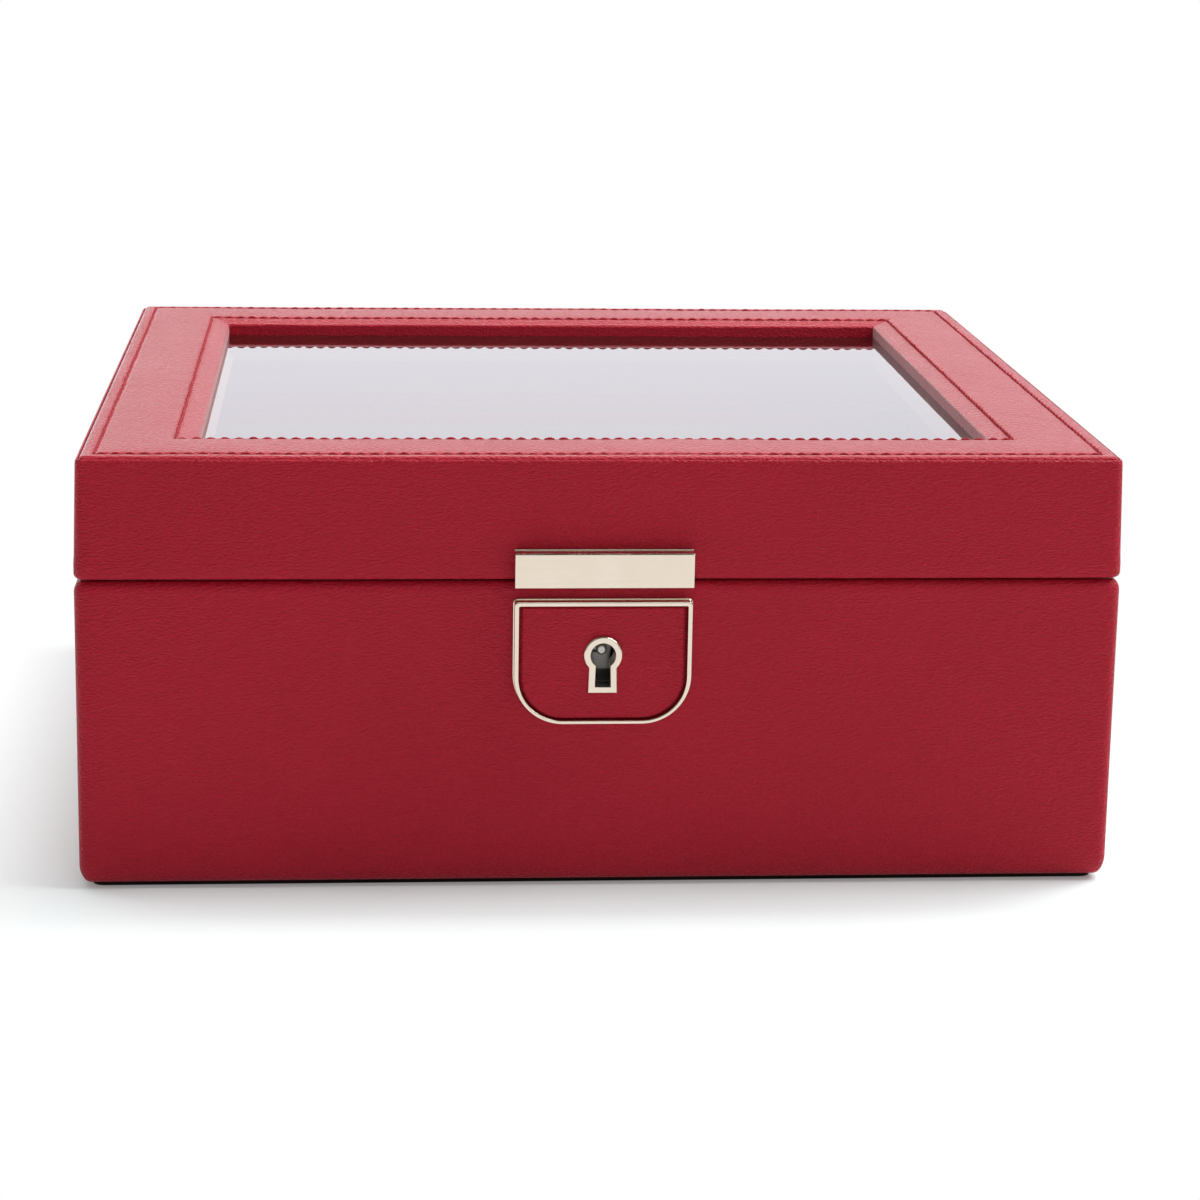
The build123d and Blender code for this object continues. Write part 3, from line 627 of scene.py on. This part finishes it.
band_proud = 2.4
outer_bend, inner_bend = 0.28, 0.2
face_rows = [(-0.2, 0, 0.0), (-0.2, 0, 0.2), (-0.16, 0, 0.27), (-0.1, 0, 0.3)]
face_rows += [(0, 0, 0.3), (0, 0, 0.34)]
for past, proud in arc_line(outer_bend, band_proud - outer_bend, -outer_bend, outer_bend, 0, 90, 6):
    face_rows.append((past, 0, proud))
for past, proud in arc_line(-inner_bend, band_proud - inner_bend, inner_bend, inner_bend, 90, 0, 5):
    face_rows.append((past, 1, proud))
face_rows += [(0, 1, 1.9), (0, 1, 0.0)]
face_band = shield_skin("face_band", face_rows, pale_gilt)
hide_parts("lock_face")
inlay_rows = [(-0.05, 1, 0.2), (0.0, 1, 0.40), (0.1, 1, 0.57), (0.24, 1, 0.67), (0.4, 1, 0.702),
              (2.2, 1, 0.704)]
inlay_edge = shield_skin("inlay_edge", inlay_rows, red_leather)

# Stop hinges: thick polished brass leaves with three knuckles on a pin. They are let into both
# rims at the back and held by countersunk screws, and their bevelled heels stop the open lid.

hinge_brass = metal_finish("hinge_brass", (0.84, 0.70, 0.45), (0.79, 0.64, 0.39), 0.24, 0.000008)
for name in ("hinge_base_leaf_left", "hinge_base_leaf_right", "hinge_lid_leaf_left",
             "hinge_lid_leaf_right", "hinge_pin_left", "hinge_pin_right"):
    finish_node(name, hinge_brass, 0.12, 2)
for name in ("hinge_base_screws", "hinge_lid_screws"):
    finish_node(name, hinge_brass, 0.06, 1)

# Lid carcass and side leather: fibreboard walls in one skin of the same leather, cut off at the
# top along the groove round the window border. The board is stained, as its edge shows there.

stained_board = Finish("stained_board", Roughness=0.8, Specular_IOR_Level=0.2)
stain = stained_board.noise(stained_board.place, 900, 4)
stained_board.colour(stained_board.blend(stain, (0.24, 0.13, 0.095), (0.34, 0.20, 0.145)))
finish_node("lid_carcass", stained_board)
finish_node("lid_top_board", stained_board)
edge_r = 0.0012
lid_taper = 0.0007
groove_in = 0.0012
shoulder_up = 0.0008
lid_low, lid_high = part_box("lid_leather")
lid_notches = [(*notch, *hinge_in, lid_low.z + hinge_notch) for notch in back_notches]
catch_low, catch_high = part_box("lid_catch")
lid_notches.append((0, catch_low.x - notch_slack, catch_high.x + notch_slack, *plate_in,
                    lid_low.z + plate_notch))
profile = turned_edge(lid_low.z, -1)[::-1]
profile += [(inset, lid_low.z) for inset in reversed(rim_line(0.0016, rim_to))]
profile += arc_line(edge_r, lid_low.z + edge_r, -edge_r, -edge_r, 90, 0, 6)
profile += [(0.0, lid_low.z + 0.0020)]
profile += [(0.0, lid_low.z + hinge_notch - edge_gap), (0.0, lid_low.z + hinge_notch + edge_gap)]
for share in np.linspace(0.2, 0.96, 14):
    profile.append((lid_taper * share, lid_low.z + share * (lid_high.z - lid_low.z)))
profile += arc_line(groove_in, lid_high.z - shoulder_up, lid_taper - groove_in, shoulder_up, 0, 90, 6)
profile += [(groove_in + 0.00010, lid_high.z - 0.0003), (groove_in + 0.00012, lid_high.z - 0.0009),
            (groove_in + 0.00012, lid_high.z - 0.003)]
lid_skin = wall_skin("lid_skin", lid_low, lid_high, profile, lid_notches)
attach(lid_skin, "lid")
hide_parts("lid_leather")

# Window border: leather over a padded board, sewn down along two rows. Between the rows it
# stands up as a soft pad; inside the inner row it rolls down to the glass.

border_w = 0.0235
outer_row = 0.0031
inner_row = 0.0189
stitch_pitch = 0.0030
pad_h = 0.00034
pad_sink = 0.00014
bead_h, bead_in, bead_w = 0.00012, 0.0017, 0.0010
groove_d, hole_d, groove_w = 0.00016, 0.00020, 0.00055
tug_h, tug_w = 0.000035, 0.0012
strip_drop = 0.0009
outer_r = 0.0009
lip_r = 0.0008
fine_step, wide_step = 0.00022, 0.0007
border_corner_r, tight_border_r = 0.0013, 0.0003
long_places, short_places = 426, 390
slow_swell, quick_swell = 0.00006, 0.00003
border_low, border_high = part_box("lid_top_leather")
# Painted highlight: the border's leather is a lighter, pinker copy of the walls' leather with a far
# stronger sheen, standing in for the sheen the top catches at a low angle
sheen_lit_border_leather = leather_finish("sheen_lit_border_leather", (0.50, 0.0065, 0.030), (0.34, 0.002, 0.014),
                                2.4, 0.76)


def row_length(row, side):
    """How long a row of stitches is on one side of the border, corner to corner."""
    half = border_high.x if side % 2 == 0 else border_high.y
    return 2 * (half - row)


def row_pitch(row, side):
    """The pitch that divides a row into whole stitches."""
    length = row_length(row, side)
    return length / round(length / stitch_pitch)


def border_height(inset, along, side):
    """How far the leather stands off the border's flat top, at a place along a side."""
    share = np.clip((inset - outer_row) / (inner_row - outer_row), 0, 1)
    height = -pad_sink + pad_h * (4 * share * (1 - share)) ** 0.5
    height += bead_h * np.exp(-((inset - bead_in) / bead_w) ** 2)
    for row in (outer_row, inner_row):
        pitch = row_pitch(row, side)
        turns = along / pitch + 0.5 * row_length(row, side) / pitch
        beat = 0.5 + 0.5 * np.cos(2 * math.pi * turns)
        away = np.abs(inset - row)
        height -= (groove_d + hole_d * beat) * np.exp(-(away / groove_w) ** 2)
        height += tug_h * (0.5 - beat) * np.exp(-away / tug_w)
    return height


def border_profile():
    """Insets, heights and shares of relief, from the outer edge over the pad to the glass."""
    top = border_high.z
    line = [(0.0, border_low.z, 0.0), (0.0, top - 0.0020, 0.0)]
    for inset, z in arc_line(outer_r, top - outer_r, -outer_r, outer_r, 0, 75, 5):
        line.append((inset, z, 0.5))
    places = [*np.arange(0.0011, outer_row + 0.0022, fine_step),
              *np.arange(outer_row + 0.0026, inner_row - 0.0022, wide_step),
              *np.arange(inner_row - 0.0020, inner_row + 0.0006, fine_step)]
    line += [(inset, top, 1.0) for inset in places]
    start = places[-1]
    for share in np.linspace(0.08, 1, 9):
        inset = start + share * (border_w - lip_r - start)
        line.append((inset, top - strip_drop * share ** 1.1, 1.0))
    edge = arc_line(border_w - lip_r, top - strip_drop - lip_r, lip_r, lip_r, 80, 0, 7)
    line += [(inset, z, 1.0 - step / 7) for step, (inset, z) in enumerate(edge)]
    line += [(border_w, top - strip_drop - lip_r - 0.0008, 0.0), (border_w, border_low.z, 0.0)]
    return line


def make_border():
    """The padded leather of the border as one skin round the window."""
    stations = [np.linspace(-1, 1, count) for count in (long_places, short_places) * 2]
    rings = []
    for inset, height, relief in border_profile():
        radius = max(border_corner_r - inset, tight_border_r)
        places = ring(border_high.x - inset, border_high.y - inset, radius, stations, 0.0, 6)
        rise = np.zeros(len(places))
        for side in range(4):
            own = places[:, 2] == side
            rise[own] = relief * border_height(inset, places[own, 3], side)
        points = np.column_stack((places[:, :2], height + rise))
        swell = wave(7, points, 0.050) * slow_swell + wave(8, points, 0.009) * quick_swell
        points[:, 2] += swell * relief
        rings.append(points)
    return skin_between("window_border", rings, sheen_lit_border_leather)


border = make_border()
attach(border, "lid")
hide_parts("lid_top_leather")

# Stitches: waxed thread in a deeper red, about eight to the inch, one row along each side of
# the pad. Each stitch dips into its needle holes and lies a little off the line.

thread_r = 0.00034
thread_sides = 8
thread_steps = 8
hole_down, arch_h = 0.00069, 0.00066
stitch_from, stitch_to, stray = 0.10, 0.90, 0.03
most_skew, most_shift = 0.00010, 0.00008
thread = Finish("waxed_thread", Roughness=0.55, Specular_IOR_Level=0.25)
ply = thread.noise(thread.place, 2900, 3)
thread.colour(thread.blend(thread.span(ply, 0.3, 0.7, 0, 1), (0.28, 0.003, 0.011), (0.46, 0.008, 0.024)))
thread.bump(ply, 0.00008)


def make_stitches(name, row, seed):
    """One row of stitches right round the border."""
    rng = random.Random(seed)
    points, faces = [], []
    for side in range(4):
        turn = side * math.pi / 2
        along_way = Vector((math.cos(turn), math.sin(turn), 0))
        out_way = Vector((math.sin(turn), -math.cos(turn), 0))
        out = border_high.y if side % 2 == 0 else border_high.x
        length = row_length(row, side)
        pitch = row_pitch(row, side)
        for number in range(round(length / pitch)):
            start = -length / 2 + (number + stitch_from + rng.uniform(-stray, stray)) * pitch
            end = -length / 2 + (number + stitch_to + rng.uniform(-stray, stray)) * pitch
            skew = rng.uniform(-most_skew, most_skew)
            shift = rng.uniform(-most_shift, most_shift)
            proud = rng.uniform(0.9, 1.1)
            line, radii = [], []
            for step in range(thread_steps + 1):
                t = step / thread_steps
                arch = math.sin(math.pi * t)
                aside = row + shift + skew * (2 * t - 1)
                spot = along_way * (start + (end - start) * t) + out_way * (out - aside)
                z = border_high.z - hole_down + arch_h * proud * arch ** 0.45
                line.append(Vector((spot.x, spot.y, z)))
                radii.append(thread_r * (0.55 + 0.45 * arch ** 0.4))
            first = len(points)
            tube(points, faces, line, radii, thread_sides)
            last = len(points)
            faces.append(tuple(range(first + thread_sides - 1, first - 1, -1)))
            faces.append(tuple(range(last - thread_sides, last)))
    stitches = new_piece(name, points, faces, thread)
    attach(stitches, "lid")


make_stitches("outer_stitches", outer_row, 11)
make_stitches("inner_stitches", inner_row, 12)

# Glass: a 3 mm float pane in a rebate under the border. It mirrors at a low angle and lets the
# light through to the tray.


def mix_shaders(tree, share, first, second):
    """Two shaders, mixed by a share from 0 to 1."""
    node = tree.nodes.new("ShaderNodeMixShader")
    for socket, value in zip(node.inputs, (share, first, second)):
        put(tree, socket, value)
    return node.outputs[0]


pane = bpy.data.materials.new("float_glass")
pane.use_nodes = True
pane_tree = pane.node_tree
pane_tree.nodes.clear()
pane_out = pane_tree.nodes.new("ShaderNodeOutputMaterial")
through = pane_tree.nodes.new("ShaderNodeBsdfTransparent")
through.inputs["Color"].default_value = (0.955, 0.975, 0.965, 1.0)
mirror = pane_tree.nodes.new("ShaderNodeBsdfGlossy")
mirror.inputs["Roughness"].default_value = 0.012
mirror.inputs["Color"].default_value = (0.84, 0.83, 0.88, 1.0)
fresnel = pane_tree.nodes.new("ShaderNodeFresnel")
fresnel.inputs["IOR"].default_value = 1.52
facing = pane_tree.nodes.new("ShaderNodeNewGeometry")
# Both faces of the pane mirror, which together give 2F / (1 + F), and only the near one counts
twice = math_node(pane_tree, "MULTIPLY", fresnel.outputs[0], 2.0)
more = math_node(pane_tree, "ADD", fresnel.outputs[0], 1.0)
both = math_node(pane_tree, "DIVIDE", twice.outputs[0], more.outputs[0])
near_face = math_node(pane_tree, "SUBTRACT", 1.0, facing.outputs["Backfacing"])
mirrored = math_node(pane_tree, "MULTIPLY", both.outputs[0], near_face.outputs[0])
put(pane_tree, pane_out.inputs["Surface"],
    mix_shaders(pane_tree, mirrored.outputs[0], through.outputs[0], mirror.outputs[0]))
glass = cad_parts["glass_pane"]
glass.data.materials.clear()
glass.data.materials.append(pane)

# Lid linings: the tray's taupe suede over card, one panel glued to each wall of the lid. A
# frame in brown suede is the ceiling, and holds the glass up in its rebate.

for name in ("lid_lining_left", "lid_lining_right", "lid_lining_front", "lid_lining_back"):
    finish_node(name, taupe_suede, 0.3, 3)
brown_suede = suede_finish("brown_suede", (0.27, 0.15, 0.115), (0.19, 0.10, 0.075))
finish_node("lid_lining_ceiling", brown_suede, 0.3, 3)

# Catch and latch bar: a steel plate with two riveted staples in the lid's rim, and a gilt bar
# screwed on from inside, which covers the seam.

for name in ("lid_catch", "catch_staple_left", "catch_staple_right", "lid_catch_screws",
             "latch_bar_screws"):
    finish_node(name, lock_steel, 0.08, 2)
finish_node("latch_bar", pale_gilt, 0.10, 3)

# Studio: a white paper sweep, a broad softbox low behind the box and a key light over its right.
# A card and a fill soften the shadows, two strips draw bright lines along the edges, and a
# black flag hangs above the front.


def lamp(name, place, target, size_x, size_y, radiance, colour=(1.0, 1.0, 1.0)):
    """A soft rectangular lamp of a given brightness that looks at a target."""
    light = bpy.data.lights.new(name, "AREA")
    light.shape = "RECTANGLE"
    light.size = size_x
    light.size_y = size_y
    light.energy = radiance * math.pi * size_x * size_y
    light.color = colour
    piece = bpy.data.objects.new(name, light)
    piece.location = place
    piece.rotation_euler = (Vector(target) - Vector(place)).to_track_quat("-Z", "Y").to_euler()
    piece.visible_camera = False
    bpy.context.scene.collection.objects.link(piece)


box_foot = (0.0, 0.0, 0.05)
lamp("back_softbox", (0.0, 2.4, 0.95), (0.0, 0.0, 0.25), 4.6, 1.9, 1.30, (0.985, 0.985, 1.0))
lamp("key", (1.6, 0.25, 2.1), box_foot, 1.8, 1.8, 7.5)
lamp("overhead", (0.0, 0.42, 2.1), box_foot, 2.8, 0.3, 8.6)
lamp("left_card", (-1.7, 0.8, 0.7), box_foot, 1.4, 1.2, 0.8)
lamp("front_fill", (1.4, -2.2, 1.0), box_foot, 1.2, 1.2, 0.36)
lamp("front_strip", (0.45, -1.7, 1.7), box_foot, 1.7, 0.4, 2.4)

world = bpy.data.worlds.new("studio")
bpy.context.scene.world = world
world.use_nodes = True
room = world.node_tree.nodes["Background"]
room.inputs["Color"].default_value = (1.0, 1.0, 1.0, 1.0)
room.inputs["Strength"].default_value = 0.225
white = world.node_tree.nodes.new("ShaderNodeBackground")
white.inputs["Color"].default_value = (1.0, 1.0, 1.0, 1.0)
seen = world.node_tree.nodes.new("ShaderNodeLightPath")
put(world.node_tree, world.node_tree.nodes["World Output"].inputs["Surface"],
    mix_shaders(world.node_tree, seen.outputs["Is Camera Ray"], room.outputs[0], white.outputs[0]))


def level_sheet(name, low, high, z, finish):
    """A flat sheet of the studio between two corners."""
    points = [(low[0], low[1], z), (high[0], low[1], z), (high[0], high[1], z), (low[0], high[1], z)]
    return new_piece(name, points, [(0, 1, 2, 3)], finish, False)


# Beside the box the paper shows its shadow, which gives way to plain white further out
box_half = (0.111, 0.1015, 0)
shadow_reach = 0.049
least_white = 0.13
sweep = Finish("white_sweep", Roughness=0.8, Specular_IOR_Level=0.0)
paper = sweep.noise(sweep.place, 60, 3)
sweep.colour(sweep.blend(sweep.span(paper, 0.3, 0.7, 0, 1), (0.86, 0.94, 0.94), (0.89, 0.97, 0.97)))
glow = sweep.node("ShaderNodeEmission")
distance = sweep.place
for operation, other in (("ABSOLUTE", (0, 0, 0)), ("SUBTRACT", box_half), ("MAXIMUM", (0, 0, 0)),
                         ("MULTIPLY", (1.5, 1, 1)), ("LENGTH", (0, 0, 0))):
    step = sweep.node("ShaderNodeVectorMath")
    step.operation = operation
    put(sweep.tree, step.inputs[0], distance)
    step.inputs[1].default_value = other
    distance = step.outputs["Value" if operation == "LENGTH" else "Vector"]
far = sweep.span(distance, 0.0, shadow_reach, least_white, 1.0)
ray = sweep.node("ShaderNodeLightPath")
watched = sweep.sum(ray.outputs["Is Camera Ray"], ray.outputs["Is Glossy Ray"])
white_share = math_node(sweep.tree, "MULTIPLY", watched, far)
white_share.use_clamp = True
put(sweep.tree, sweep.tree.nodes["Material Output"].inputs["Surface"],
    mix_shaders(sweep.tree, white_share.outputs[0], sweep.shader.outputs[0], glow.outputs[0]))
floor = level_sheet("studio_floor", (-9.0, -9.0), (9.0, 9.0), 0, sweep)
floor.location.z = -0.00002
black = Finish("black_flag", Roughness=0.9, Specular_IOR_Level=0.0)
felt = black.noise(black.place, 200)
black.colour(black.blend(felt, (0.010, 0.010, 0.010), (0.016, 0.016, 0.016)))
flag = level_sheet("black_flag", (-0.5, -1.1), (0.5, -0.08), 1.5, black)
flag.visible_camera = False

# Camera: 0.6 m in front of the box, a little left of its middle and well above its lid, looking
# slightly down and to the right.

camera = bpy.data.cameras.new("camera")
camera.sensor_width = 36.0
camera.lens = 90.54
camera.shift_x = 0.02
camera.shift_y = -0.10
camera.clip_end = 50.0
eye = bpy.data.objects.new("camera", camera)
bpy.context.scene.collection.objects.link(eye)
eye_place = (-0.05057, -0.7169, 0.22286)
yaw, pitch, roll = 0.0720, 0.2131, 0.0154
ahead = Vector((math.sin(yaw) * math.cos(pitch), math.cos(yaw) * math.cos(pitch),
                -math.sin(pitch)))
right = Vector((math.cos(yaw), -math.sin(yaw), 0))
over = right.cross(ahead)
tilted_right = math.cos(roll) * right + math.sin(roll) * over
tilted_over = math.cos(roll) * over - math.sin(roll) * right
turn = Matrix((tilted_right, tilted_over, -ahead)).transposed().to_4x4()
eye.matrix_world = Matrix.Translation(eye_place) @ turn
bpy.context.scene.camera = eye

bpy.context.scene.view_settings.view_transform = "Standard"
